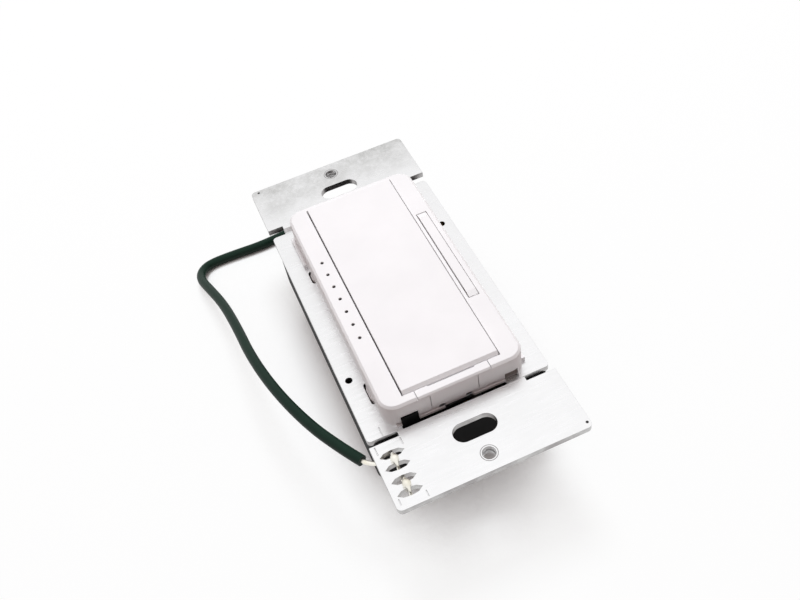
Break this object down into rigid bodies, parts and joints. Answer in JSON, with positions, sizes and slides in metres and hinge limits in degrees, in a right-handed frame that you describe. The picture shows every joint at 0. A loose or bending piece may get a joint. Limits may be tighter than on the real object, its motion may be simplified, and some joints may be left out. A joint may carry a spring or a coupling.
{
  "type": "smart dimmer switch",
  "caption": "Wall-box dimmer switch: metal yoke, white frame with a large tap paddle, narrow dimming rocker, service tab and a ground lead.",
  "frame": {"origin": "on the surface that the back cover rests on, below the middle of the mounting yoke", "axes": "+Z out of the switch's front, +Y to its top end, +X to the right seen from the front"},
  "size_m": [0.0663, 0.1141, 0.0323],
  "materials": {
    "yoke_aluminium": "satin",
    "white_moulding": "semi-gloss",
    "black_moulding": "fine matte",
    "grey_moulding": "matte",
    "clear_moulding": "clear",
    "board_laminate": "solder mask",
    "black_component": "matte",
    "yellow_component": "matte",
    "plunger_plastic": "matte",
    "lamp_plastic": "gloss",
    "transistor_body": "matte",
    "steel": "zinc plated",
    "rivet_aluminium": "satin",
    "can_aluminium": "printed sleeve without marks",
    "terminal_brass": "bright",
    "winding_copper": "enamelled",
    "core_powder": "coated iron powder",
    "tinned_copper": "tinned",
    "green_insulation": "semi-gloss"
  },
  "bodies": {
    "base": {"mounting_yoke": "yoke_aluminium", "front_frame": "white_moulding", "rocker_pin": "steel", "led_light_guide": "clear_moulding", "housing_body": "black_moulding", "back_cover": "grey_moulding", "cover_screws": "steel", "circuit_board": "board_laminate", "control_chip": "black_component", "film_capacitor": "yellow_component", "electrolytic_capacitor": "can_aluminium", "tap_tactile_switch": "plunger_plastic", "dim_up_tactile_switch": "plunger_plastic", "dim_down_tactile_switch": "plunger_plastic", "indicator_leds": "lamp_plastic", "power_transistor": "transistor_body", "power_transistor_rivet": "rivet_aluminium", "filter_choke_core": "core_powder", "filter_choke_winding": "winding_copper", "airgap_leaf_contact": "terminal_brass", "airgap_fixed_contact": "terminal_brass", "ground_lead": "green_insulation", "ground_lead_tip": "tinned_copper", "ground_conductor": "tinned_copper", "terminal_plate_1": "terminal_brass", "terminal_screw_1": "terminal_brass", "terminal_plate_2": "terminal_brass", "terminal_screw_2": "terminal_brass", "terminal_plate_3": "terminal_brass", "terminal_screw_3": "terminal_brass"},
    "tap_switch": {"tap_switch": "white_moulding"},
    "dimming_rocker": {"dimming_rocker": "white_moulding"},
    "service_tab": {"service_tab": "white_moulding"}
  },
  "joints": [
    {"name": "tap_switch_press", "type": "hinge", "parent": "base", "child": "tap_switch", "pos_m": [0, 0.027, 0.0288], "axis": [1, 0, 0], "range_deg": [0, 0.9], "stiffness_Nm_per_rad": 0.5, "springref_deg": -2.86},
    {"name": "dimming_rocker_tilt", "type": "hinge", "parent": "base", "child": "dimming_rocker", "pos_m": [0.01365, 0.0014, 0.0286], "axis": [1, 0, 0], "range_deg": [-1.8, 1.8], "stiffness_Nm_per_rad": 0.05},
    {"name": "service_tab_pull", "type": "slide", "parent": "base", "child": "service_tab", "axis": [0, 0, 1], "range_m": [0, 0.003]}
  ]
}
